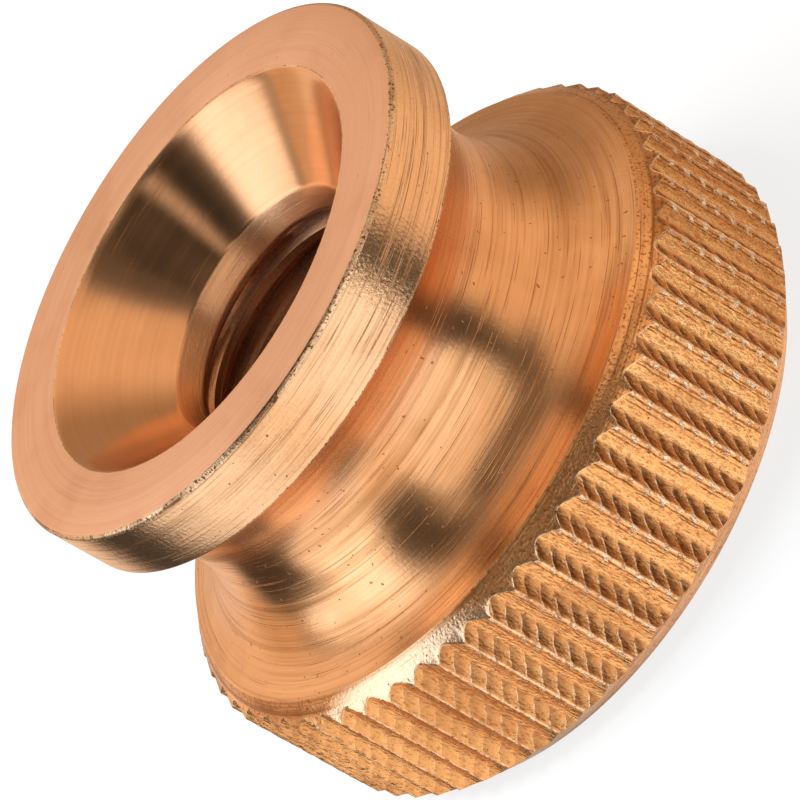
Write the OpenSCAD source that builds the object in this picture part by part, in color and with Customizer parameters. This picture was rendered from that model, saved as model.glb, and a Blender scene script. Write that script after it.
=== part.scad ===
// Knurled thumb nut: one turned brass piece with a straight-knurled rim, a concave
// waist, a small countersunk flange and a threaded bore right through.
// It stands on the rim's flat seat at z = 0, with the axis of the turning along +Z.

/* [Knurled rim] */
// Diameter over the crests of the knurl
knurl_d = 20; // [18.5:0.1:30]
// Height of the rim, from the seat to the foot of the waist
rim_h = 5.7; // [3:0.1:8]
// Number of straight grooves around the rim
groove_count = 61; // [24:1:72]
// Radial depth of a groove
groove_depth = 0.26; // [0.1:0.02:0.3]
// Width of the flat floor of a groove
groove_floor_w = 0.2; // [0.1:0.02:0.4]
// Width of the land left standing between two grooves
crest_w = 0.08; // [0.04:0.02:0.3]
// 45 degree chamfer around the top of the rim, where the grooves run out
top_chamfer = 0.62; // [0.34:0.02:1.2]
// 45 degree chamfer around the seat
seat_chamfer = 0.92; // [0.34:0.02:1.2]

/* [Waist and flange] */
// Height of the whole nut
total_h = 13.3; // [12.6:0.1:20]
// Diameter at the narrowest point of the waist
neck_d = 13.6; // [12.4:0.1:15]
// Diameter of the flange
flange_d = 16.3; // [15.6:0.1:18]
// Thickness of the flange at its outer edge
flange_t = 2.1; // [0.8:0.1:3]
// Width of the broken edge around the flange's face
edge_break = 0.12; // [0.04:0.02:0.3]

/* [Bore] */
// Diameter of the bore over the thread's crests (M8 x 1)
bore_d = 6.92; // [5:0.02:7.2]
// Diameter of the countersink's mouth in the flange's face
sink_d = 12.28; // [9:0.02:13.6]
// Included angle of the countersink, in degrees
sink_angle = 90; // [70:1:120]
// Diameter where the countersink gives way to the steeper lead-in
lead_in_d = 7.5; // [7.3:0.02:8.6]
// Height of the lead-in, from the countersink down to the bore
lead_in_h = 0.7; // [0.3:0.05:1.2]
// Diameter of the chamfer where the bore leaves through the seat
exit_d = 8.6; // [7.4:0.1:10]

/* [Hidden] */
$fn = 180;

// How far a cutter runs past the face that it opens
run_past = 1;

knurl_r = knurl_d / 2;
flange_r = flange_d / 2;
neck_r = neck_d / 2;

// The waist is one circular arc. It is tangent to the rim's top plane, touches the neck
// radius once and ends on the flange's lower edge, which settles its radius and centre.
flange_z = total_h - flange_t;
cove_drop = flange_z - rim_h;
cove_inset = flange_r - neck_r;
cove_r = cove_drop + cove_inset - sqrt(2 * cove_drop * cove_inset);
cove_x = neck_r + cove_r;
cove_z = rim_h + cove_r;

// The countersink, its lead-in and the exit chamfer, measured from the two faces
sink_depth = (sink_d - lead_in_d) / 2 / tan(sink_angle / 2);
lead_in_z = total_h - sink_depth;
bore_top_z = lead_in_z - lead_in_h;
exit_h = (exit_d - bore_d) / 2;

// Angles that one groove takes up: its share of the rim, half a crest, half its floor
pitch_a = 360 / groove_count;
crest_a = asin(crest_w / 2 / knurl_r);
floor_a = asin(groove_floor_w / 2 / (knurl_r - groove_depth));

function polar(r, a) = [r * cos(a), r * sin(a)];

// Four corners to a groove: down one flank, across the floor and up the other flank
module knurl_outline() {
    floor_r = knurl_r - groove_depth;
    polygon([
        for (i = [0 : groove_count - 1])
            let (left = i * pitch_a, middle = left + pitch_a / 2, right = left + pitch_a)
            each [
                polar(knurl_r, left + crest_a),
                polar(floor_r, middle - floor_a),
                polar(floor_r, middle + floor_a),
                polar(knurl_r, right - crest_a)
            ]
    ]);
}

// Half section of the rim and the foot of the waist. Both stay under the top chamfer's
// slope, so that the chamfer runs on inwards until it meets the cove.
module rim_section() {
    slope_top = rim_h - top_chamfer + knurl_r - neck_r;
    intersection() {
        polygon([
            [0, 0],
            [knurl_r - seat_chamfer, 0],
            [knurl_r, seat_chamfer],
            [knurl_r, rim_h - top_chamfer],
            [neck_r, slope_top],
            [0, slope_top]
        ]);
        union() {
            square([knurl_r, rim_h]);
            square([cove_x, cove_z]);
        }
    }
}

// Half section of the neck and the flange, before the cove is turned out of it
module flange_section() {
    polygon([
        [0, 0],
        [flange_r, 0],
        [flange_r, total_h - edge_break],
        [flange_r - edge_break, total_h],
        [0, total_h]
    ]);
}

// Half section of the whole nut without its bore
module nut_section() {
    difference() {
        union() {
            rim_section();
            flange_section();
        }
        translate([cove_x, cove_z]) circle(r = cove_r);
    }
}

// The knurl stops at the rim's top plane, so that the flange stays plain
module knurl_envelope() {
    linear_extrude(height = rim_h) knurl_outline();
    translate([0, 0, rim_h]) cylinder(h = total_h - rim_h, r = knurl_r);
}

// Through bore with the countersink, the lead-in and the exit chamfer
module bore() {
    translate([0, 0, -run_past]) cylinder(h = total_h + 2 * run_past, d = bore_d);
    translate([0, 0, bore_top_z]) cylinder(h = lead_in_h, d1 = bore_d, d2 = lead_in_d);
    translate([0, 0, lead_in_z]) flare(lead_in_d, sink_depth, tan(sink_angle / 2));
    translate([0, 0, exit_h]) mirror([0, 0, 1]) flare(bore_d, exit_h, 1);
}

// A cone that widens upwards at a given slope and runs past the face at height h
module flare(d, h, slope) {
    cylinder(h = h + run_past, d1 = d, d2 = d + 2 * slope * (h + run_past));
}

module thumb_nut() {
    color("#c98d52")
    difference() {
        intersection() {
            rotate_extrude() nut_section();
            knurl_envelope();
        }
        bore();
    }
}

thumb_nut();
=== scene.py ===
"""Dressed model of a knurled thumb nut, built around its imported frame.

One turned brass piece stands for the CAD node: a straight-knurled rim, a concave waist, a
small countersunk flange and a threaded bore. It stands on its seat, round the Z axis, and the
camera is at an azimuth of about -90 degrees. Sizes are in millimetres in the classes and in
metres in the scene, in the frame's own axes.
"""

import logging
import math
from dataclasses import dataclass, field
from enum import IntEnum
from typing import ClassVar, Optional, Union

import bpy
from mathutils import Matrix, Vector, noise


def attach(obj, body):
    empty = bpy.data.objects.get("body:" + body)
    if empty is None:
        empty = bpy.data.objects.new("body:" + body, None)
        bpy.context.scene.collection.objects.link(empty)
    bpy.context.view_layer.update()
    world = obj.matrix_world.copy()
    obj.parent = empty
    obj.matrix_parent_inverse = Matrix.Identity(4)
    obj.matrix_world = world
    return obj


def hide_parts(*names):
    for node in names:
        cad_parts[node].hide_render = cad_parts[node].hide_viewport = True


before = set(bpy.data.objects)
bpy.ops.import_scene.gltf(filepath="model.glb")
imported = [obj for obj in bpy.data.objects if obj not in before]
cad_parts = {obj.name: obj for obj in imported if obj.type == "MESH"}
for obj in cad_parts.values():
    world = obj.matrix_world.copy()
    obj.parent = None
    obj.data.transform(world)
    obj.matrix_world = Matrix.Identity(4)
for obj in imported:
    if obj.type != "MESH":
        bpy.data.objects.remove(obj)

MM = 0.001
FULL_TURN = 2 * math.pi
# Mesh points closer than the first become one, faces of the hole thinner than the second go
MERGE = 0.0015 * MM
SLIVER = 0.0005 * MM
LOG = logging.getLogger("thumb_nut")
Piece = bpy.types.Object
Socket = bpy.types.NodeSocket
Term = Union["Number", float]
Pair = tuple[float, float]
Colour = tuple[float, float, float]
Rgba = tuple[float, float, float, float]
Shade = Union[Socket, Rgba]
WHITE = (1.0, 1.0, 1.0, 1.0)


class Zone(IntEnum):
    """The differently finished surfaces of the nut, in the order of its material slots."""

    CONE = 0
    FACE = 1
    SIDE = 2
    WAIST = 3
    CHAMFER = 4
    KNURL = 5
    SEAT = 6
    BORE = 7
    LEAD = 8
    BURR = 9
    EDGE = 10


# ---- shader tools


class Number:
    """A number that runs through a shader, with Python's own operators."""

    def __init__(self, tree: "Tree", socket: Socket) -> None:
        """Wraps one output socket of a tree."""
        self.tree = tree
        self.socket = socket

    def math(self, operation: str, *others: Term, flip: bool = False) -> "Number":
        """Adds one Math node.

        Args:
            operation: The node's operation, by its own name.
            others: The node's further values.
            flip: Puts this number second, for the reflected operators.

        Returns:
            The node's result.
        """
        terms = [self, *others]
        if flip:
            terms.reverse()
        return self.tree.math(operation, *terms)

    def __add__(self, other: Term) -> "Number":
        """Sum."""
        return self.math("ADD", other)

    __radd__ = __add__

    def __sub__(self, other: Term) -> "Number":
        """Difference."""
        return self.math("SUBTRACT", other)

    def __rsub__(self, other: Term) -> "Number":
        """Difference with this number second."""
        return self.math("SUBTRACT", other, flip=True)

    def __mul__(self, other: Term) -> "Number":
        """Product."""
        return self.math("MULTIPLY", other)

    __rmul__ = __mul__

    def __truediv__(self, other: Term) -> "Number":
        """Quotient."""
        return self.math("DIVIDE", other)

    def __rtruediv__(self, other: Term) -> "Number":
        """Quotient with this number second."""
        return self.math("DIVIDE", other, flip=True)

    def __pow__(self, other: Term) -> "Number":
        """Power."""
        return self.math("POWER", other)

    def __rpow__(self, other: Term) -> "Number":
        """Power with this number second."""
        return self.math("POWER", other, flip=True)

    def __abs__(self) -> "Number":
        """Size without its sign."""
        return self.math("ABSOLUTE")

    def clamp(self) -> "Number":
        """This number held between 0 and 1."""
        return self.math("MINIMUM", 1.0).math("MAXIMUM", 0.0)

    def step(self, low: float, high: float) -> "Number":
        """A smooth step.

        Args:
            low: Where the result is 0.
            high: Where the result is 1. It may be under low.

        Returns:
            A number from 0 to 1.
        """
        node = self.tree.node(
            "MapRange",
            {"interpolation_type": "SMOOTHSTEP"},
            {"Value": self, "From Min": low, "From Max": high},
        )
        return Number(self.tree, node.outputs["Result"])


class Tree:
    """A node tree that is built in code."""

    def __init__(self, tree: bpy.types.NodeTree) -> None:
        """Empties the tree and keeps it.

        Args:
            tree: The tree of a material or of the world.
        """
        self.nodes = tree.nodes
        self.links = tree.links
        self.nodes.clear()

    def node(
        self, kind: str, settings: Optional[dict] = None, values: Optional[dict] = None
    ) -> bpy.types.Node:
        """Adds any node.

        Args:
            kind: The node's type, without "ShaderNode" in front.
            settings: Its own settings, which are set first.
            values: Its input sockets by name or number, each a link or a constant.

        Returns:
            The node.
        """
        made = self.nodes.new("ShaderNode" + kind)
        for name, value in (settings or {}).items():
            setattr(made, name, value)
        for name, value in (values or {}).items():
            if isinstance(value, Number):
                value = value.socket
            if isinstance(value, Socket):
                self.links.new(value, made.inputs[name])
            else:
                made.inputs[name].default_value = value
        return made

    def math(self, operation: str, *terms: Term) -> Number:
        """Adds one Math node on these terms and returns its result."""
        made = self.node("Math", {"operation": operation}, dict(enumerate(terms)))
        return Number(self, made.outputs[0])

    def mix(self, factor: Term, first: Shade, second: Shade) -> Socket:
        """Blends two colours.

        Args:
            factor: 0 for the first, 1 for the second.
            first: A colour of four numbers, or a socket.
            second: The same.

        Returns:
            The blended colour's socket.
        """
        made = self.node("Mix", {"data_type": "RGBA"}, {0: factor, 6: first, 7: second})
        return made.outputs[2]

    def noise(
        self, place: Socket, scale: float, detail: float = 2.0, turn: Optional[Number] = None
    ) -> Number:
        """Adds a noise.

        Args:
            place: The vector that it reads.
            scale: Its scale.
            detail: Its finer layers.
            turn: A fourth coordinate.

        Returns:
            Its value, about 0.5 in the middle.
        """
        settings = {"noise_dimensions": "4D" if turn else "3D"}
        values = {"Vector": place, "Scale": scale, "Detail": detail}
        if turn:
            values["W"] = turn
        return Number(self, self.node("TexNoise", settings, values).outputs[0])


def rgba(colour: Colour) -> Rgba:
    """A colour with full alpha."""
    return (*colour, 1.0)


# ---- finishes


@dataclass
class Surface:
    """What a finish works on: where a point of the nut is, and what has been laid down so far.

    Lengths are in metres, and the relief's height is in millimetres. Dull says how much of the
    dull brass covers the bright colour, and may still be over 1.
    """

    tree: Tree
    place: Socket
    x: Number
    y: Number
    z: Number
    radius: Number
    colour: Optional[Shade] = None
    dull: Optional[Number] = None
    height: Optional[Number] = None

    def up(self) -> Number:
        """The point's height in millimetres."""
        return self.z * (1 / MM)

    def towards(self, azimuth: float, reach: float) -> Number:
        """How far the point lies towards one side of the nut.

        Args:
            azimuth: The side, in degrees.
            reach: The distance from the axis that counts as 1, in millimetres.

        Returns:
            The share of that distance, which is negative on the other side.
        """
        turn = math.radians(azimuth)
        scale = 1 / (reach * MM)
        return self.x * (math.cos(turn) * scale) + self.y * (math.sin(turn) * scale)

    def squeezed(self, share: float) -> Socket:
        """The place with its height made smaller, so that a pattern on it grows tall."""
        values = {0: self.x, 1: self.y, 2: self.z * share}
        return self.tree.node("CombineXYZ", None, values).outputs[0]

    def add_height(self, layer: Number, depth: float) -> None:
        """Adds a layer of relief, its depth in millimetres."""
        term = layer * depth
        self.height = term if self.height is None else self.height + term


@dataclass(frozen=True)
class BrassFinish:
    """One finish of the brass, as the cutting tool left it.

    Lines run round the nut's axis, as a turning tool cuts them. Grain is the same in all
    directions, unless its stretch makes it taller. Widths and the relief's depths are in
    millimetres. Spread is how far lines stretch a highlight. Line_colour, stain and grit say how
    strongly lines, clouds and grain colour the brass, pits how many pits there are, and throat
    how much lighter the waist is at its top. A further share says how much painted highlight one
    side of the chamfer gets: lighter brass there, and that much of its dullness gone, so less
    roughness.
    """

    name: str
    colour: Colour
    dull: Colour
    roughness: float
    spread: float = 0.0
    line_width: float = 0.1
    line_depth: float = 0.0
    line_colour: float = 0.0
    grain_width: float = 0.1
    grain_depth: float = 0.0
    stain: float = 0.2
    pits: float = 0.0
    grit: float = 0.0
    stretch: float = 1.0
    side_highlight: float = 0.0
    throat: float = 0.0

    # Kinds of line: how wide, in the finish's line widths, and how fast they change round the nut
    FINE: ClassVar[Pair] = (1.0, 0.008)
    COARSE: ClassVar[Pair] = (4.2, 0.03)
    SCRATCH: ClassVar[Pair] = (0.6, 0.012)
    # Widths and a depth in millimetres
    STAIN_WIDTH: ClassVar[float] = 2.2
    PIT_WIDTH: ClassVar[float] = 0.16
    PIT_DEPTH: ClassVar[float] = 0.02
    # What stains add to the roughness
    DULL_ROUGHNESS: ClassVar[float] = 0.14
    # The heights between which the waist grows lighter, and what it turns to
    THROAT_SPAN: ClassVar[Pair] = (8.6, 10.2)
    THROAT_TINT: ClassVar[Colour] = (0.96, 0.75, 0.56)
    # The side of the chamfer with a painted highlight, by azimuth and radius, where it fades in,
    # and the highlight's colour
    HIGHLIGHT_SIDE: ClassVar[Pair] = (-131, 9.52)
    HIGHLIGHT_SPAN: ClassVar[Pair] = (0.94, 0.99)
    HIGHLIGHT_TINT: ClassVar[Colour] = (0.98, 0.82, 0.64)

    def material(self) -> bpy.types.Material:
        """Makes the material.

        Returns:
            A procedural material on Object coordinates.
        """
        made = bpy.data.materials.new(self.name)
        made.use_nodes = True
        tree = Tree(made.node_tree)
        place = tree.node("TexCoord").outputs["Object"]
        split = tree.node("SeparateXYZ", None, {0: place})
        x, y, z = (Number(tree, socket) for socket in split.outputs)
        surface = Surface(tree, place, x, y, z, (x * x + y * y) ** 0.5)
        self.lay(surface)
        dull = surface.dull.clamp()
        colour = tree.mix(dull, surface.colour, rgba(self.dull))
        relief = {"Strength": 1.0, "Distance": MM, "Height": surface.height}
        bump = tree.node("Bump", None, relief)
        values = {
            "Base Color": colour,
            "Metallic": 1.0,
            "Roughness": (dull * self.DULL_ROUGHNESS + self.roughness).clamp(),
            "Anisotropic": self.spread,
            "Anisotropic Rotation": 0.25,
            "Normal": bump.outputs[0],
        }
        shader = tree.node("BsdfPrincipled", None, values)
        tree.node("OutputMaterial", None, {0: shader.outputs[0]})
        return made

    def rings(self, surface: Surface, share: float, drift: float) -> Number:
        """Lines round the axis, as noise in radius and height that drifts slowly round.

        Args:
            surface: The surface that they are cut in.
            share: How wide a line is, in the finish's line widths.
            drift: How fast the lines change round the nut.

        Returns:
            The noise, about 0.5 in the middle.
        """
        scale = 1.0 / (self.line_width * share * MM)
        values = {0: surface.radius, 1: surface.z, 2: surface.x * drift}
        way = surface.tree.node("CombineXYZ", None, values)
        return surface.tree.noise(way.outputs[0], scale, 2.0, surface.y * drift)

    def pale(self) -> Colour:
        """The unstained brass where a line or a grain catches the light."""
        return tuple(min(1.0, part * 1.12 + 0.05) for part in self.colour)

    def lay(self, surface: Surface) -> None:
        """Lays the turned lines, the grain, the stains and the pits on a surface.

        Args:
            surface: The surface, which gets its colour, its stains and its relief.
        """
        tree = surface.tree
        fine = self.rings(surface, *self.FINE)
        coarse = self.rings(surface, *self.COARSE)
        scratch = self.rings(surface, *self.SCRATCH).step(0.62, 0.70)
        grain = tree.noise(surface.squeezed(1 / self.stretch), 1.0 / (self.grain_width * MM), 4.0)
        cloud = tree.noise(surface.place, 1.0 / (self.STAIN_WIDTH * MM), 3.0)
        lit = fine.step(0.48, 0.34) * self.line_colour + grain.step(0.44, 0.32) * self.grit
        surface.colour = tree.mix(lit.clamp(), rgba(self.colour), rgba(self.pale()))
        lines = fine.step(0.50, 0.66) + coarse.step(0.50, 0.66) + scratch * 1.6
        dull = cloud.step(0.46, 0.66) * self.stain + lines * self.line_colour
        dull = dull + grain.step(0.54, 0.66) * self.grit
        surface.add_height(grain, self.grain_depth)
        if self.line_depth:
            surface.add_height(fine, self.line_depth)
            surface.add_height(coarse, self.line_depth * 1.6)
            surface.add_height(scratch, -self.line_depth)
        if self.throat:
            under = surface.up().step(*self.THROAT_SPAN) * self.throat
            surface.colour = tree.mix(under, surface.colour, rgba(self.THROAT_TINT))
        # A painted highlight on one side of the chamfer: lighter brass there, also less dull and so
        # less rough
        if self.side_highlight:
            painted_highlight = surface.towards(*self.HIGHLIGHT_SIDE).step(*self.HIGHLIGHT_SPAN)
            dull = dull * (1.0 - painted_highlight * self.side_highlight)
            surface.colour = tree.mix(painted_highlight * 0.6, surface.colour, rgba(self.HIGHLIGHT_TINT))
        if self.pits:
            speck = tree.noise(surface.place, 1.0 / (self.PIT_WIDTH * MM), 1.0)
            ease = 0.07 * self.pits
            pit = speck.step(0.80 - ease, 0.84 - ease)
            dull = dull + pit
            surface.add_height(pit, -self.PIT_DEPTH)
        surface.dull = dull


@dataclass(frozen=True)
class WheelMarks:
    """The cross marks that the knurling wheel leaves, which the mesh and the finish share.

    Attributes:
        grooves: How many grooves the nut has.
        lean: How far past a crest the middle of its own stretch lies, in pitches.
        rung: The height from mark to mark, in millimetres.
        slant: How far a mark climbs over one pitch, in marks.
        shift: How much lower the next groove's marks lie, in marks.
        sway: How far that varies.
        sway_turn: How fast it varies, in radians a groove.
        side: The azimuth where the wheel pressed hardest, in degrees.
        radius: The crests' radius, in millimetres.
    """

    grooves: int = 61
    lean: float = 0.18
    rung: float = 0.56
    slant: float = 1.8
    shift: float = 0.30
    sway: float = 0.25
    sway_turn: float = 1.7
    side: float = -60.0
    radius: float = 10.0


@dataclass(frozen=True)
class KnurledFinish(BrassFinish):
    """The knurl's finish: painted shade in the cells and painted highlights on the rungs of one
    flank, drawn lines on the other.

    The brightest colour is for the painted highlights on crests, rungs and curls, the golden one
    for the painted highlight at the second flank's foot, shade for the painted shade on the nut's
    shaded side, and deep for the painted shade at the bottom of cells and for the drawn lines.
    """

    marks: WheelMarks = WheelMarks()
    bright: Colour = (0.98, 0.88, 0.70)
    foot_highlight: Colour = (0.98, 0.68, 0.32)
    shade: Colour = (0.72, 0.35, 0.13)
    deep: Colour = (0.16, 0.068, 0.028)

    # The azimuth of the nut's side that gets painted shade, in degrees, and noise widths in
    # millimetres
    SHADED_SIDE: ClassVar[float] = 0.0
    WOBBLE_WIDTH: ClassVar[float] = 0.35
    FRAY_WIDTH: ClassVar[float] = 0.07
    PATCH_WIDTH: ClassVar[float] = 0.9

    def lay(self, surface: Surface) -> None:
        """Lays the wheel's marks over the plain finish, with painted shade and painted highlights.

        Args:
            surface: The surface, which gets its colour, its stains and its relief.
        """
        super().lay(surface)
        tree, marks = surface.tree, self.marks
        # The crest that a point belongs to, and how far past it the point lies, in pitches
        turns = tree.math("ARCTAN2", surface.y, surface.x) * (marks.grooves / FULL_TURN)
        crest = (turns - marks.lean).math("ROUND")
        past = turns - crest
        own = (crest * marks.sway_turn).math("SINE")
        wobble = tree.noise(surface.place, 1.0 / (self.WOBBLE_WIDTH * MM), 2.0) - 0.5
        fray = tree.noise(surface.squeezed(0.45), 1.0 / (self.FRAY_WIDTH * MM), 3.0)
        patch = tree.noise(surface.place, 1.0 / (self.PATCH_WIDTH * MM), 2.0)
        phase = surface.up() * (1 / marks.rung) + crest * marks.shift + own * marks.sway
        tooth = (phase - past * marks.slant + wobble * 0.5).math("FRACT")
        press = surface.towards(marks.side, marks.radius).step(0.05, 0.85) * 0.7 + 0.3
        # Painted shade, which grows towards the nut's shaded side
        side = surface.towards(self.SHADED_SIDE, marks.radius).step(0.62, 0.95)
        # First flank: painted shade in the cells, and painted highlights on the raised rungs
        # between them and on the raised curls of brass over the crest
        band = past.step(0.02, 0.08) * past.step(0.54, 0.42)
        cell_shade = (tooth.step(0.10, 0.80) * 0.56 + 0.34) * press * (1.0 - side * 0.5)
        cell = band * (cell_shade + side * 0.62)
        rung = band * past.step(0.42, 0.30) * tooth.step(0.15, 0.05) * patch.step(0.32, 0.5)
        rung = rung * (press * 1.3 - 0.3)
        curl = abs(past + 0.06).step(0.10, 0.05) * tooth.step(0.40, 0.25) * fray.step(0.36, 0.5)
        curl = curl * press
        # A painted highlight along each crest
        edge = abs(past + wobble * 0.08).step(0.05, 0.015)
        # Second flank: a painted highlight at its foot, two thin drawn lines, and a hazy darkening
        # that is partly darker grain and partly painted shade on the shaded side
        foot = past.step(0.50, 0.57) * past.step(0.68, 0.62) * fray.step(0.35, 0.55) * 0.6
        drawn = abs(past + own * 0.015 + wobble * 0.06 + 0.11).step(0.024, 0.008)
        faint = abs(past - own * 0.02 + wobble * 0.08 + 0.21).step(0.020, 0.006)
        drawn = drawn + faint * patch.step(0.42, 0.55)
        slope = past.step(0.50, 0.60) + past.step(0.0, -0.06)
        haze_and_shade = slope * (fray.step(0.50, 0.64) * 0.3 + side * 0.30)
        # Colours, the darkest first: painted shade on the shaded side, painted shade in the cells
        # with the dark drawn lines and the hazy darkening, the foot's painted highlight, then the
        # painted highlights on crests, rungs and curls; and relief
        colour = tree.mix(side * 0.5, surface.colour, rgba(self.shade))
        dark = (cell + drawn * 0.6 + haze_and_shade) * (fray * 1.1 + 0.45)
        colour = tree.mix(dark.clamp(), colour, rgba(self.deep))
        colour = tree.mix(foot.clamp(), colour, rgba(self.foot_highlight))
        light = (edge * 0.6 + rung * 0.9 + curl * patch.step(0.35, 0.55)) * (fray * 1.2 + 0.3)
        surface.colour = tree.mix(light.clamp() * 0.9, colour, rgba(self.bright))
        surface.add_height(rung, 0.02)
        surface.add_height(curl, 0.025)
        surface.add_height(drawn, -0.014)
        surface.add_height(fray, self.grain_depth * 0.4)


FINISHES: dict[Zone, BrassFinish] = {
    Zone.CONE: BrassFinish(
        "brass_polished_cone", (0.84, 0.484, 0.266), (0.58, 0.278, 0.13),
        roughness=0.17, spread=0.75,
        line_width=0.09, line_depth=0.0006, line_colour=0.10,
        grain_width=0.12, grain_depth=0.0005, stain=0.16,
    ),
    # The face's brass is lighter than the rest of the nut's: painted light, which stands in for
    # more light on the face
    Zone.FACE: BrassFinish(
        "brass_faced_satin", (0.99, 0.638, 0.45), (0.8, 0.462, 0.3),
        roughness=0.42, spread=0.6,
        line_width=0.07, line_depth=0.002, line_colour=0.16,
        grain_width=0.06, grain_depth=0.005, stain=0.3, pits=0.3,
    ),
    Zone.SIDE: BrassFinish(
        "brass_turned_flange", (0.93, 0.593, 0.346), (0.44, 0.218, 0.0936),
        roughness=0.23, spread=0.75,
        line_width=0.06, line_depth=0.009, line_colour=0.42,
        grain_depth=0.009, pits=0.5, grit=0.12,
    ),
    Zone.WAIST: BrassFinish(
        "brass_turned_waist", (0.86, 0.484, 0.245), (0.52, 0.242, 0.0864),
        roughness=0.22, spread=0.75,
        line_width=0.07, line_depth=0.006, line_colour=0.36,
        grain_width=0.12, grain_depth=0.002, pits=0.9, throat=0.5,
    ),
    Zone.CHAMFER: BrassFinish(
        "brass_rough_chamfer", (0.99, 0.53, 0.24), (0.38, 0.145, 0.045),
        roughness=0.22, spread=0.4,
        line_width=0.08, line_depth=0.008, line_colour=0.45,
        grain_width=0.09, grain_depth=0.014, stain=0.32, pits=0.8, grit=0.7, side_highlight=0.9,
    ),
    Zone.KNURL: KnurledFinish(
        "brass_knurled", (0.98, 0.50, 0.19), (0.54, 0.22, 0.075),
        roughness=0.24,
        grain_width=0.09, grain_depth=0.055, stretch=2.0, stain=0.3, pits=0.6, grit=0.62,
    ),
    Zone.SEAT: BrassFinish(
        "brass_faced_seat", (0.8, 0.496, 0.317), (0.58, 0.303, 0.144),
        roughness=0.32, spread=0.7,
        line_width=0.12, line_depth=0.006, line_colour=0.3,
        grain_depth=0.003, stain=0.15, pits=0.3,
    ),
    # The thread's brass is darker than the rest of the nut's: painted shade inside the hole
    Zone.BORE: BrassFinish(
        "brass_cut_thread", (0.68, 0.38, 0.22), (0.22, 0.11, 0.06),
        roughness=0.32, spread=0.4,
        line_width=0.08, line_depth=0.004, line_colour=0.3,
        grain_width=0.08, grain_depth=0.006, stain=0.4, pits=0.4, grit=0.3,
    ),
    Zone.LEAD: BrassFinish(
        "brass_lead_in", (0.86, 0.52, 0.30), (0.50, 0.24, 0.11),
        roughness=0.30, spread=0.5,
        line_width=0.07, line_depth=0.004, line_colour=0.2, grain_width=0.08, grain_depth=0.005,
    ),
    Zone.BURR: BrassFinish(
        "brass_burr", (0.9, 0.678, 0.432), (0.24, 0.109, 0.0432),
        roughness=0.2,
        grain_width=0.14, grain_depth=0.014, stain=0.7, grit=1.0,
    ),
    Zone.EDGE: BrassFinish(
        "brass_broken_edge", (0.92, 0.653, 0.418), (0.19, 0.0847, 0.0374),
        roughness=0.20,
        line_width=0.05, line_depth=0.006, line_colour=0.3,
        grain_width=0.09, grain_depth=0.024, stain=0.6, grit=1.0,
    ),
}


# ---- shapes


@dataclass(frozen=True)
class Row:
    """One ring of the turned shell, from its inner edge over the flange down to the seat.

    A plain ring has a radius and a height. A knurled one has its share of the way from the
    groove's upper end on the rim's chamfer to its lower end on the seat's. The burr round
    that upper end lies a little higher, at its lift, and stands out of the chamfer by its lip.
    """

    zone: Zone
    radius: float = 0.0
    height: float = 0.0
    share: Optional[float] = None
    lift: float = 0.0
    lip: float = 0.0


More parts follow.
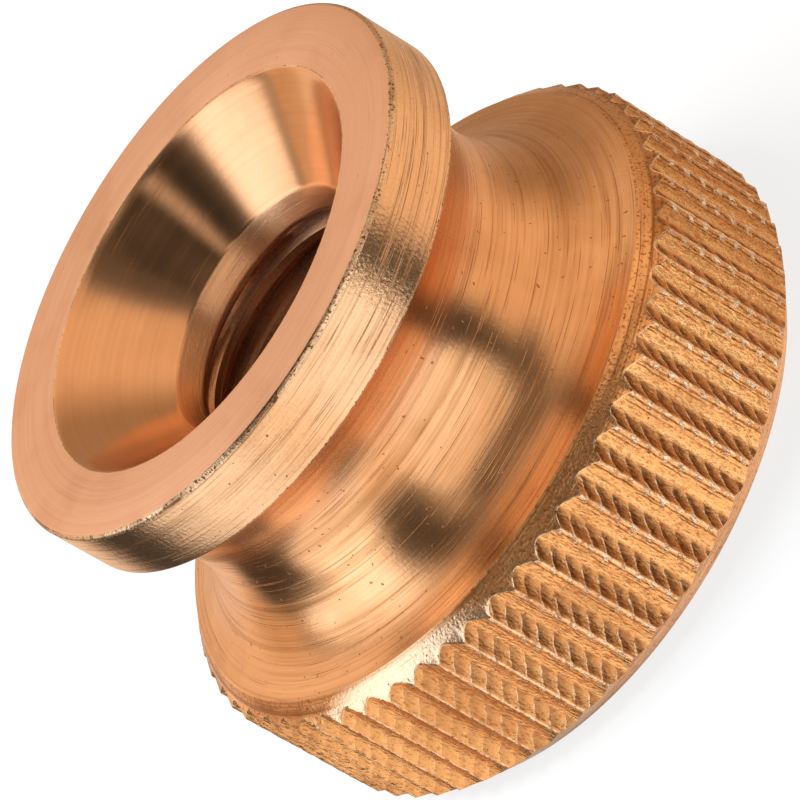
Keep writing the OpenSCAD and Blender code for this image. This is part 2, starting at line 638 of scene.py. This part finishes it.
@dataclass
class TurnedBody:
    """The sizes that the nut is turned to, in millimetres."""

    # The rim: radius over the knurl's crests, height, chamfers at the waist and at the seat
    knurl_r: float = 10.0
    rim_h: float = 5.7
    top_chamfer: float = 0.62
    seat_chamfer: float = 0.92
    # The whole height, the waist's narrowest radius, and the flange's radius and thickness
    total_h: float = 13.3
    neck_r: float = 6.8
    flange_r: float = 8.15
    flange_t: float = 2.1
    # The hole: thread crests, countersink's mouth, lead-in's upper and lower end, exit chamfer
    bore_r: float = 3.46
    sink_r: float = 6.14
    lead_r: float = 3.75
    lead_z: float = 10.91
    bore_top: float = 10.21
    exit_r: float = 4.3
    # Rings: of waist and knurl, of the cone by height, of the flange's edge by inset and drop
    cove_rows: int = 30
    knurl_rows: int = 42
    cone_heights: tuple[float, ...] = (11.0, 11.9, 12.6, 13.1, 13.27)
    edge_break: tuple[Pair, ...] = ((0.10, 0.008), (0.035, 0.055), (0.006, 0.11))
    # How close to an edge the next ring lies, and the least step between rings
    near: float = 0.05
    hair: float = 0.004

    def cove(self) -> list[Pair]:
        """Points down the waist's arc, which is tangent to the neck and to the rim's top.

        Returns:
            Radii and heights, from the flange's lower edge to the rim's chamfer.
        """
        drop = self.total_h - self.flange_t - self.rim_h
        inset = self.flange_r - self.neck_r
        size = drop + inset - math.sqrt(2 * drop * inset)
        middle = (self.neck_r + size, self.rim_h + size)
        past_flange, before_rim = 0.02, 0.008
        start = math.atan2(self.rim_h + drop - middle[1], self.flange_r - middle[0]) + past_flange
        half = (self.rim_h + self.knurl_r - self.top_chamfer - sum(middle)) / 2
        reach = math.sqrt(size * size / 2 - half * half)
        end = math.atan2(half - reach, half + reach) % FULL_TURN - before_rim
        turns = [start + (end - start) * k / (self.cove_rows - 1) for k in range(self.cove_rows)]
        return [(middle[0] + size * math.cos(a), middle[1] + size * math.sin(a)) for a in turns]

    def rows(self) -> list[Row]:
        """All rings of the shell, from the lead-in over flange and waist down to the seat."""
        upper = [*self.sink_rings(), *self.flange_rings(), *self.waist_rings()]
        return [*upper, *self.knurl_rings(), *self.seat_rings()]

    def sink_rings(self) -> list[Row]:
        """Rings of the lead-in and of the polished cone.

        Returns:
            The rings, upwards.
        """
        near, hair = self.near, self.hair
        lift = self.lead_z - self.lead_r
        slope = (self.lead_r - self.bore_r) / (self.lead_z - self.bore_top)
        return [
            Row(Zone.BORE, self.bore_r, self.bore_top - near),
            Row(Zone.LEAD, self.bore_r + hair, self.bore_top),
            Row(Zone.LEAD, self.bore_r + near * slope, self.bore_top + near),
            Row(Zone.LEAD, self.lead_r - near * slope - hair, self.lead_z - near),
            Row(Zone.CONE, self.lead_r + 0.02, self.lead_z + 0.03),
            *(Row(Zone.CONE, z - lift, z) for z in self.cone_heights),
        ]

    def flange_rings(self) -> list[Row]:
        """Rings of the flange, outwards over its face and down its side."""
        top, edge = self.total_h, self.flange_r
        return [
            Row(Zone.EDGE, self.sink_r + 0.012, top - self.hair),
            Row(Zone.FACE, self.sink_r + 0.04, top),
            Row(Zone.FACE, 7.1, top),
            Row(Zone.FACE, edge - 0.13, top),
            *(Row(Zone.EDGE, edge - inward, top - down) for inward, down in self.edge_break),
            Row(Zone.SIDE, edge, top - 0.16),
            Row(Zone.SIDE, edge, top - 0.9),
            Row(Zone.SIDE, edge, top - 1.5),
            Row(Zone.EDGE, edge, top - self.flange_t + self.near),
            Row(Zone.WAIST, edge - 0.008, top - self.flange_t + 0.012),
        ]

    def waist_rings(self) -> list[Row]:
        """Rings of the waist and of the plain part of the rim's chamfer.

        Returns:
            The rings, downwards.
        """
        points = self.cove()
        crown = self.rim_h + self.knurl_r - self.top_chamfer
        radii = (points[-1][0] + 0.03, 9.52, 9.66)
        waist = [Row(Zone.WAIST, *point) for point in points]
        return waist + [Row(Zone.CHAMFER, radius, crown - radius) for radius in radii]

    def knurl_rings(self) -> list[Row]:
        """Rings of the burr and of the knurl, downwards."""
        steps = self.knurl_rows - 1
        return [
            Row(Zone.BURR, share=0.0, lift=0.045),
            Row(Zone.BURR, share=0.0, lift=0.015, lip=0.016),
            *(Row(Zone.KNURL, share=k / steps) for k in range(steps)),
            Row(Zone.CHAMFER, share=1.0),
        ]

    def seat_rings(self) -> list[Row]:
        """Rings of the lower chamfer and of the seat, inwards to the exit chamfer."""
        foot = self.knurl_r - self.seat_chamfer
        return [
            Row(Zone.CHAMFER, foot + 0.58, 0.58),
            Row(Zone.CHAMFER, foot + 0.03, 0.03),
            Row(Zone.SEAT, foot + 0.005, 0.006),
            Row(Zone.SEAT, foot - 0.02, 0.0),
            Row(Zone.SEAT, foot - 2.4, 0.0),
            Row(Zone.SEAT, self.exit_r + 0.01, 0.0),
            Row(Zone.SEAT, self.exit_r - 0.02, 0.02),
        ]

    def inside(self, height: float) -> float:
        """The plain radius of the hole, before its thread is cut.

        Args:
            height: The height in millimetres.

        Returns:
            The radius there, in millimetres.
        """
        exit_h = self.exit_r - self.bore_r
        if height < exit_h:
            return self.exit_r - height
        if height < self.bore_top:
            return self.bore_r
        if height < self.lead_z:
            share = (height - self.bore_top) / (self.lead_z - self.bore_top)
            return self.bore_r + (self.lead_r - self.bore_r) * share
        return self.lead_r + height - self.lead_z


@dataclass
class Knurl:
    """The straight knurl: one groove's section, and the marks the wheel leaves in it."""

    marks: WheelMarks = WheelMarks()
    # How far round the pitch each column is, and how deep the groove is there
    section: tuple[Pair, ...] = (
        (0.0, 0.0), (0.045, 0.012), (0.10, 0.07), (0.165, 0.135), (0.235, 0.195), (0.31, 0.24),
        (0.41, 0.262), (0.53, 0.255), (0.65, 0.20), (0.765, 0.135), (0.85, 0.108), (0.93, 0.045),
    )
    # Depths of cells, of notches in crests and of roughness, and how far a crest waves
    cell_depth: float = 0.055
    notch: float = 0.018
    rough: float = 0.008
    wave: float = 0.03
    # Where the cells' middle is, and half the width of a cell and of a crest, in pitches
    cell_middle: float = 0.20
    cell_half: float = 0.22
    crest_half: float = 0.06
    # How far past the knurl's ends the marks go, their fade in height, and their radii
    run_out: float = 0.27
    fade: float = 0.4
    least_r: float = 9.72
    most_r: float = 9.999

    @property
    def columns(self) -> int:
        """Columns of faces to a pitch."""
        return len(self.section)

    @property
    def pitch(self) -> float:
        """The angle of one pitch."""
        return FULL_TURN / self.marks.grooves

    def point(self, column: int) -> Pair:
        """Where a column of the strip lies.

        Args:
            column: Its number, up to the next pitch's first.

        Returns:
            Its angle in radians and the groove's depth there.
        """
        if column == self.columns:
            return self.pitch, 0.0
        share, depth = self.section[column]
        return share * self.pitch, depth

    def relief(self, angle: float, height: float) -> Pair:
        """The marks at one place on the knurl.

        Args:
            angle: The place's angle round the axis.
            height: Its height in millimetres.

        Returns:
            How far the place moves inwards and round, in millimetres and radians.
        """
        marks = self.marks
        crest = round(angle / self.pitch - marks.lean)
        past = angle / self.pitch - crest
        turn = (crest + marks.grooves // 2) % marks.grooves - marks.grooves // 2
        own = marks.sway_turn * turn
        phase = height / marks.rung + marks.shift * turn + marks.sway * math.sin(own)
        phase -= marks.slant * past
        beat = math.cos(FULL_TURN * phase)
        flank = max(0.0, 1.0 - ((past - self.cell_middle) / self.cell_half) ** 2)
        cell = min(phase % 1.0, (1.0 - phase % 1.0) * 4)
        strength = 0.8 + 0.5 * noise.noise((own, height * 0.5, 0.0))
        facing = math.cos(angle - math.radians(marks.side))
        strength *= 0.3 + 0.7 * min(max((facing + 0.05) / 0.65, 0.0), 1.0)
        drop = self.cell_depth * flank * cell * strength
        crown = max(0.0, 1.0 - (past / self.crest_half) ** 2)
        drop += self.notch * crown * (1.0 - beat) * strength
        round_by = self.wave * crown * beat * strength / marks.radius
        x, y = marks.radius * math.cos(angle), marks.radius * math.sin(angle)
        drop += self.rough * noise.noise((x * 4.0, y * 4.0, height * 3.0)) * 2
        drop += self.rough * noise.noise((x * 11.0, y * 11.0, height * 6.0))
        return drop, round_by


@dataclass
class Thread:
    """The right-hand thread in the bore, with its usual 60 degree section, in millimetres."""

    pitch: float = 1.0
    depth: float = 0.541
    start: float = 0.78
    columns: int = 122
    # Its turns, past both ends of the hole, and the lines to a pitch, from the groove's middle
    turns: tuple[int, int] = (-2, 11)
    lines: tuple[float, ...] = (-0.0625, 0.0625, 0.15, 0.26, 0.375, 0.458, 0.542, 0.625, 0.74, 0.85)
    # The wall's start over the seat, its end under the lead-in, the thread's fade there, and
    # how near the exit chamfer's edge a line snaps to it
    foot: float = 0.06
    stop: float = 0.1
    fade: float = 0.3
    snap: float = 0.062

    def cut(self, angle: float, height: float) -> float:
        """How deep the thread is cut at a place.

        Args:
            angle: The place's angle round the axis.
            height: Its height in millimetres.

        Returns:
            The depth in millimetres, 0 on the crest.
        """
        turn = (height - self.start) / self.pitch - angle / FULL_TURN
        away = abs(turn - round(turn)) * self.pitch
        root, crest = self.pitch / 16, self.pitch * 3 / 8
        if away <= root:
            return self.depth
        if away >= crest:
            return 0.0
        return self.depth * (crest - away) / (crest - root)


@dataclass
class ThumbNut:
    """The whole nut, as one piece in place of the CAD node."""

    body: TurnedBody = field(default_factory=TurnedBody)
    knurl: Knurl = field(default_factory=Knurl)
    thread: Thread = field(default_factory=Thread)
    node: str = "thumb_nut"
    # Edges that turn by more than this many degrees stay sharp
    sharp: float = 38.0

    def build(self) -> Piece:
        """Builds and dresses the nut.

        Returns:
            The finished piece, riding on the root body.
        """
        brass = [FINISHES[zone].material() for zone in Zone]
        shell, hole = self.pitch_strip(), self.bore_wall()
        for sheet in (shell, hole):
            for finish in brass:
                sheet.data.materials.append(finish)
        self.turn_copies(shell)
        self.mark_knurl(shell)
        piece = self.join(shell, hole)
        self.smooth(piece)
        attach(piece, "root")
        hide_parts(self.node)
        return piece

    def pitch_strip(self) -> Piece:
        """Models the shell over one pitch of the knurl.

        Returns:
            A strip from the countersink over the flange, waist and rim to the seat.
        """
        rows, columns = self.body.rows(), self.knurl.columns
        strip = new_grid("nut_body", columns, len(rows) - 1)
        mesh = strip.data
        for vertex in mesh.vertices:
            column = round((vertex.co.x + 0.5) * columns)
            row = rows[round((0.5 - vertex.co.y) * (len(rows) - 1))]
            angle, depth = self.knurl.point(column)
            radius, height = row.radius, row.height
            if row.share is not None:
                radius = self.body.knurl_r - depth
                upper = self.body.rim_h - self.body.top_chamfer + depth
                lower = self.body.seat_chamfer - depth
                height = upper + (lower - upper) * row.share + row.lift
                radius += row.lip - row.lift
            vertex.co = polar(radius, angle, height)
        for face in mesh.polygons:
            first = min(face.vertices) // (columns + 1)
            face.material_index = rows[len(rows) - 2 - first].zone
        return strip

    def turn_copies(self, strip: Piece) -> None:
        """Copies the strip round the axis, once for each groove, and closes the seams.

        Args:
            strip: The strip, which becomes the whole shell.
        """
        edit(strip)
        copies = self.knurl.marks.grooves - 1
        angle = self.knurl.pitch * copies
        bpy.ops.mesh.spin(
            steps=copies, dupli=True, angle=angle, center=(0, 0, 0), axis=(0, 0, 1)
        )
        bpy.ops.mesh.select_all(action="SELECT")
        bpy.ops.mesh.remove_doubles(threshold=MERGE)
        bpy.ops.object.mode_set(mode="OBJECT")

    def mark_knurl(self, shell: Piece) -> None:
        """Presses the wheel's marks into flanks and crests.

        Args:
            shell: The whole shell.
        """
        knurl = self.knurl
        low = self.body.seat_chamfer - knurl.run_out
        high = self.body.rim_h - self.body.top_chamfer + knurl.run_out
        for vertex in shell.data.vertices:
            x, y, height = (c / MM for c in vertex.co)
            radius = math.hypot(x, y)
            if radius < knurl.least_r or not low < height < high:
                continue
            fade = min(1.0, (height - low) / knurl.fade, (high - height) / knurl.fade)
            angle = math.atan2(y, x) % FULL_TURN
            drop, round_by = knurl.relief(angle, height)
            radius = min(radius - drop * fade, knurl.most_r)
            vertex.co = polar(radius, angle + round_by * fade, height)

    def bore_wall(self) -> Piece:
        """Models the threaded hole.

        Its rows follow the thread's helix, stop at both ends of the hole and snap to the edge
        of the exit chamfer.

        Returns:
            The wall of the hole, open at both ends.
        """
        thread, body = self.thread, self.body
        turns = [turn + line for turn in range(*thread.turns) for line in thread.lines]
        wall = new_grid("nut_bore", thread.columns, len(turns) - 1)
        foot, top = thread.foot, body.bore_top - thread.stop
        edge = body.exit_r - body.bore_r
        for vertex in wall.data.vertices:
            angle = FULL_TURN * round((vertex.co.x + 0.5) * thread.columns) / thread.columns
            turn = turns[round((vertex.co.y + 0.5) * (len(turns) - 1))]
            height = thread.start + thread.pitch * (turn + angle / FULL_TURN)
            height = min(max(height, foot), top)
            if abs(height - edge) < thread.snap:
                height = edge
            fade = min(1.0, (top - height) / thread.fade)
            radius = max(body.inside(height), body.bore_r + thread.cut(angle, height) * fade)
            if height in (foot, top):
                radius = body.inside(height)
            vertex.co = polar(radius, angle, height)
        for face in wall.data.polygons:
            face.material_index = self.bore_zone(wall.data, face)
        edit(wall)
        bpy.ops.mesh.remove_doubles(threshold=MERGE)
        bpy.ops.mesh.dissolve_degenerate(threshold=SLIVER)
        bpy.ops.object.mode_set(mode="OBJECT")
        return wall

    def bore_zone(self, mesh: bpy.types.Mesh, face: bpy.types.MeshPolygon) -> Zone:
        """Which finish a face of the hole has.

        Args:
            mesh: The wall's mesh.
            face: One of its faces.

        Returns:
            The thread's finish, or on the exit chamfer, where the thread isn't cut, the lead-in's.
        """
        over_chamfer, least_cut = 0.8, 0.02
        points = [mesh.vertices[k].co / MM for k in face.vertices]
        height = sum(p.z for p in points) / len(points)
        cut = max(math.hypot(p.x, p.y) - self.body.inside(p.z) for p in points)
        return Zone.BORE if height > over_chamfer or cut > least_cut else Zone.LEAD

    def join(self, shell: Piece, hole: Piece) -> Piece:
        """Joins the shell to the hole's wall and bridges both gaps.

        Args:
            shell: The turned outside.
            hole: The wall of the hole.

        Returns:
            One closed piece.
        """
        bpy.ops.object.select_all(action="DESELECT")
        hole.select_set(True)
        shell.select_set(True)
        bpy.context.view_layer.objects.active = shell
        bpy.ops.object.join()
        rim = self.body.bore_top
        self.bridge(shell, rim - 0.12, rim - 0.02, Zone.BORE)
        self.bridge(shell, -0.05, 0.1, Zone.SEAT)
        return shell

    def bridge(self, shell: Piece, low: float, high: float, zone: Zone) -> None:
        """Bridges two open edges that lie in one span of heights.

        Args:
            shell: The piece with the open edges.
            low: The span's lower end, in millimetres.
            high: Its upper end, in millimetres.
            zone: The finish of the new faces.
        """
        edit(shell)
        bpy.ops.mesh.select_mode(type="EDGE")
        bpy.ops.mesh.select_all(action="DESELECT")
        bpy.ops.mesh.select_non_manifold(
            extend=False, use_wire=False, use_boundary=True,
            use_multi_face=False, use_non_contiguous=False, use_verts=False,
        )
        bpy.ops.object.mode_set(mode="OBJECT")
        mesh = shell.data
        for edge in mesh.edges:
            if edge.select:
                heights = [mesh.vertices[k].co.z / MM for k in edge.vertices]
                edge.select = low < min(heights) and max(heights) < high
        bpy.ops.object.mode_set(mode="EDIT")
        bpy.ops.mesh.bridge_edge_loops()
        bpy.ops.object.mode_set(mode="OBJECT")
        for face in mesh.polygons:
            if face.select:
                face.material_index = zone

    def smooth(self, piece: Piece) -> None:
        """Turns the faces outwards and smooths them up to the sharp edges.

        Args:
            piece: The closed piece.
        """
        edit(piece)
        bpy.ops.mesh.normals_make_consistent(inside=False)
        bpy.ops.object.mode_set(mode="OBJECT")
        bpy.ops.object.shade_smooth_by_angle(angle=math.radians(self.sharp))


def polar(radius: float, angle: float, height: float) -> Vector:
    """A place given round the axis, in millimetres, as a point in metres."""
    return Vector((radius * math.cos(angle), radius * math.sin(angle), height)) * MM


def new_grid(name: str, across: int, along: int) -> Piece:
    """Adds a flat grid one metre square, as the start of a sheet.

    Args:
        name: The new object's name.
        across: Faces along X.
        along: Faces along Y.

    Returns:
        The grid, alone selected.
    """
    bpy.ops.object.select_all(action="DESELECT")
    bpy.ops.mesh.primitive_grid_add(x_subdivisions=across, y_subdivisions=along, size=1)
    made = bpy.context.object
    made.name = made.data.name = name
    return made


def edit(piece: Piece) -> None:
    """Selects one piece alone and opens it in edit mode, all selected.

    Args:
        piece: The piece.
    """
    bpy.ops.object.select_all(action="DESELECT")
    piece.select_set(True)
    bpy.context.view_layer.objects.active = piece
    bpy.ops.object.mode_set(mode="EDIT")
    bpy.ops.mesh.select_all(action="SELECT")


# ---- studio


@dataclass(frozen=True)
class Panel:
    """One wall or card of the light tent, as the metal sees it.

    Its corners are rounded, and it covers the panels before it. Angles are in degrees: its
    middle's azimuth round the nut and elevation over the floor, and half its width and height.
    Soft is how much of the half width its edge takes, and lean how far it moves round for each
    degree up. Tint is -1 for cool light, 0 for plain and 1 for warm.
    """

    azimuth: float
    elevation: float
    half_width: float
    half_height: float
    level: float
    soft: float = 0.12
    lean: float = 0.0
    tint: float = 0.0


@dataclass(frozen=True)
class View:
    """Where the camera is, from the middle of the seat.

    Lengths are in millimetres, the azimuth in degrees, before the studio's turn, and elevation
    and roll in radians. Aside and above move the camera to its right and to its top.
    """

    azimuth: float = -90
    elevation: float = 0.4849
    roll: float = -1.0386
    distance: float = 182.626
    aside: float = -4.6205
    above: float = 2.3926
    lens: float = 294.58
    sensor: float = 36.0


@dataclass
class Studio:
    """Floor, light and camera."""

    panels: tuple[Panel, ...] = (
        # Ceiling, and pale ground on three sides
        Panel(0, 90, 400, 22, 0.31, soft=0.2),
        Panel(-95, -90, 60, 25, 1.1, soft=0.2),
        Panel(120, -75, 74, 22, 0.95, soft=0.4),
        Panel(20, -90, 60, 15, 0.8, soft=0.3),
        # Wall behind the camera, and its upper part
        Panel(-91, -8, 30, 67, 1.25, tint=-0.5),
        Panel(-91, 48, 30, 28, 1.1, soft=0.45),
        # Walls on the right, behind the nut and on the left, and a glow low on the left
        Panel(22, 2, 66, 70, 0.93, lean=-0.16, tint=0.7),
        Panel(106, 14, 25, 54, 1.0, soft=0.3, tint=0.45),
        Panel(138, 10, 13, 44, 0.75, soft=0.4, tint=0.9),
        Panel(-174, 1, 30, 60.5, 1.16, soft=0.16, lean=-0.4, tint=-0.4),
        Panel(-126, -44, 14, 36, 1.3, soft=0.5),
        # The tall soft light on the left, and its glow high behind the nut
        Panel(176, 24, 25, 36, 1.6, soft=0.28, lean=-0.45, tint=-1.0),
        Panel(100, 50, 50, 20, 1.05, soft=0.5, tint=0.3),
        # Dim opening behind on the right, and dark card behind on the left
        Panel(56, 5, 37, 30, 0.43, soft=0.45, tint=0.9),
        Panel(149, -16, 18, 27, 0.05, soft=0.35, lean=0.5),
        # Dark edge high over the camera, with a gap on the left, and dark card on its right
        Panel(-101, 62, 56, 12.5, 0.0, soft=0.3),
        Panel(-129, 57, 6, 11, 0.75, soft=0.8),
        Panel(-49, 46, 14, 20, 0.12, soft=0.6),
        # Narrow dim strip between the left wall and the one behind the nut
        Panel(139, 36, 4, 14, 0.3, soft=0.6, lean=-0.3),
    )
    view: View = View()
    cool: Colour = (1.0, 1.04, 1.10)
    plain: Colour = (1.0, 0.83, 0.69)
    warm: Colour = (1.0, 0.65, 0.39)
    # How bright the seams between the panels are, and how far round all is turned, in degrees
    seam: float = 0.08
    turn: float = 1.7
    # The floor: size and drop under the seat in metres, colour, whiteness to the camera
    floor_size: float = 1.2
    floor_drop: float = 0.00001
    floor_colour: Rgba = (0.68, 0.82, 0.98, 1.0)
    floor_white: float = 0.8
    # The lamp's place and size in metres, and its power in watts
    lamp_place: tuple[float, float, float] = (-0.18, 0.10, 0.42)
    lamp_size: float = 0.25
    lamp_power: float = 2.8

    def build(self) -> None:
        """Sets up the whole studio."""
        self.light_world()
        self.lay_floor()
        self.hang_lamp()
        self.place_camera()
        bpy.context.scene.view_settings.view_transform = "Standard"

    def light_world(self) -> None:
        """Makes the world: plain white to the camera, soft panels to everything else."""
        world = bpy.data.worlds.new("studio")
        bpy.context.scene.world = world
        world.use_nodes = True
        tree = Tree(world.node_tree)
        way = tree.node("TexCoord").outputs["Generated"]
        split = tree.node("SeparateXYZ", None, {0: way})
        x, y, z = (Number(tree, socket) for socket in split.outputs)
        azimuth = tree.math("ARCTAN2", y, x) * (180 / math.pi)
        elevation = tree.math("ARCSINE", z) * (180 / math.pi)
        level, tint = self.seam, 0.0
        for panel in self.panels:
            away = azimuth - (panel.azimuth + self.turn)
            if panel.lean:
                away = away - (elevation - panel.elevation) * panel.lean
            away = tree.math("WRAP", away, 180.0, -180.0) / panel.half_width
            above = (elevation - panel.elevation) / panel.half_height
            away, above = away * away, above * above
            reach = (away * away + above * above) ** 0.25
            mask = reach.step(1 + panel.soft, 1 - panel.soft)
            level = level + mask * (panel.level - level)
            tint = tint + mask * (panel.tint - tint)
        colour = tree.mix((tint * -1.0).clamp(), rgba(self.plain), rgba(self.cool))
        colour = tree.mix(tint.clamp(), colour, rgba(self.warm))
        studio = tree.node("Background", None, {"Color": colour, "Strength": level})
        plain = tree.node("Background", None, {"Color": WHITE, "Strength": 1.0})
        seen = tree.node("LightPath").outputs["Is Camera Ray"]
        shaders = {0: seen, 1: studio.outputs[0], 2: plain.outputs[0]}
        both = tree.node("MixShader", None, shaders)
        tree.node("OutputWorld", None, {0: both.outputs[0]})

    def lay_floor(self) -> None:
        """Lays the plain pale floor. It keeps the nut's shadow."""
        bpy.ops.object.select_all(action="DESELECT")
        place = (0, 0, -self.floor_drop)
        bpy.ops.mesh.primitive_plane_add(size=self.floor_size, location=place)
        floor = bpy.context.object
        floor.name = "floor"
        made = bpy.data.materials.new("pale_floor")
        made.use_nodes = True
        tree = Tree(made.node_tree)
        matt = tree.node("BsdfDiffuse", None, {"Color": self.floor_colour})
        white = tree.node("Emission", None, {"Color": WHITE, "Strength": 1.0})
        seen = Number(tree, tree.node("LightPath").outputs["Is Camera Ray"])
        shaders = {0: seen * self.floor_white, 1: matt.outputs[0], 2: white.outputs[0]}
        both = tree.node("MixShader", None, shaders)
        tree.node("OutputMaterial", None, {0: both.outputs[0]})
        floor.data.materials.append(made)
        floor.visible_glossy = False

    def hang_lamp(self) -> None:
        """Hangs one broad soft lamp, which casts the shadow."""
        bpy.ops.object.light_add(type="AREA", location=self.lamp_place)
        lamp = bpy.context.object
        lamp.name = "soft_lamp"
        lamp.data.shape = "DISK"
        lamp.data.size = self.lamp_size
        lamp.data.energy = self.lamp_power
        lamp.data.color = self.plain
        lamp.visible_glossy = False
        lamp.rotation_euler = Vector(self.lamp_place).to_track_quat("Z", "Y").to_euler()

    def place_camera(self) -> None:
        """Places the camera."""
        view = self.view
        azimuth, elevation = math.radians(view.azimuth + self.turn), view.elevation
        flat = math.cos(elevation)
        back = Vector((flat * math.cos(azimuth), flat * math.sin(azimuth), math.sin(elevation)))
        level = Vector((-math.sin(azimuth), math.cos(azimuth), 0.0))
        upward = back.cross(level)
        right = math.cos(view.roll) * level + math.sin(view.roll) * upward
        top = -math.sin(view.roll) * level + math.cos(view.roll) * upward
        place = (view.distance * back + view.aside * right + view.above * top) * MM
        bpy.ops.object.camera_add()
        camera = bpy.context.object
        camera.name = "camera"
        axes = Matrix((right, top, back)).transposed().to_4x4()
        camera.matrix_world = Matrix.Translation(place) @ axes
        camera.data.sensor_width = view.sensor
        camera.data.lens = view.lens
        camera.data.clip_start = 0.005
        bpy.context.scene.camera = camera


def main() -> None:
    """Builds the nut and its studio."""
    logging.basicConfig(level=logging.INFO, format="%(name)s: %(message)s")
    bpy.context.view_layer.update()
    piece = ThumbNut().build()
    faces = sum(len(face.vertices) - 2 for face in piece.data.polygons)
    LOG.info("%s: %d triangles", piece.name, faces)
    Studio().build()


if __name__ == "__main__":
    main()
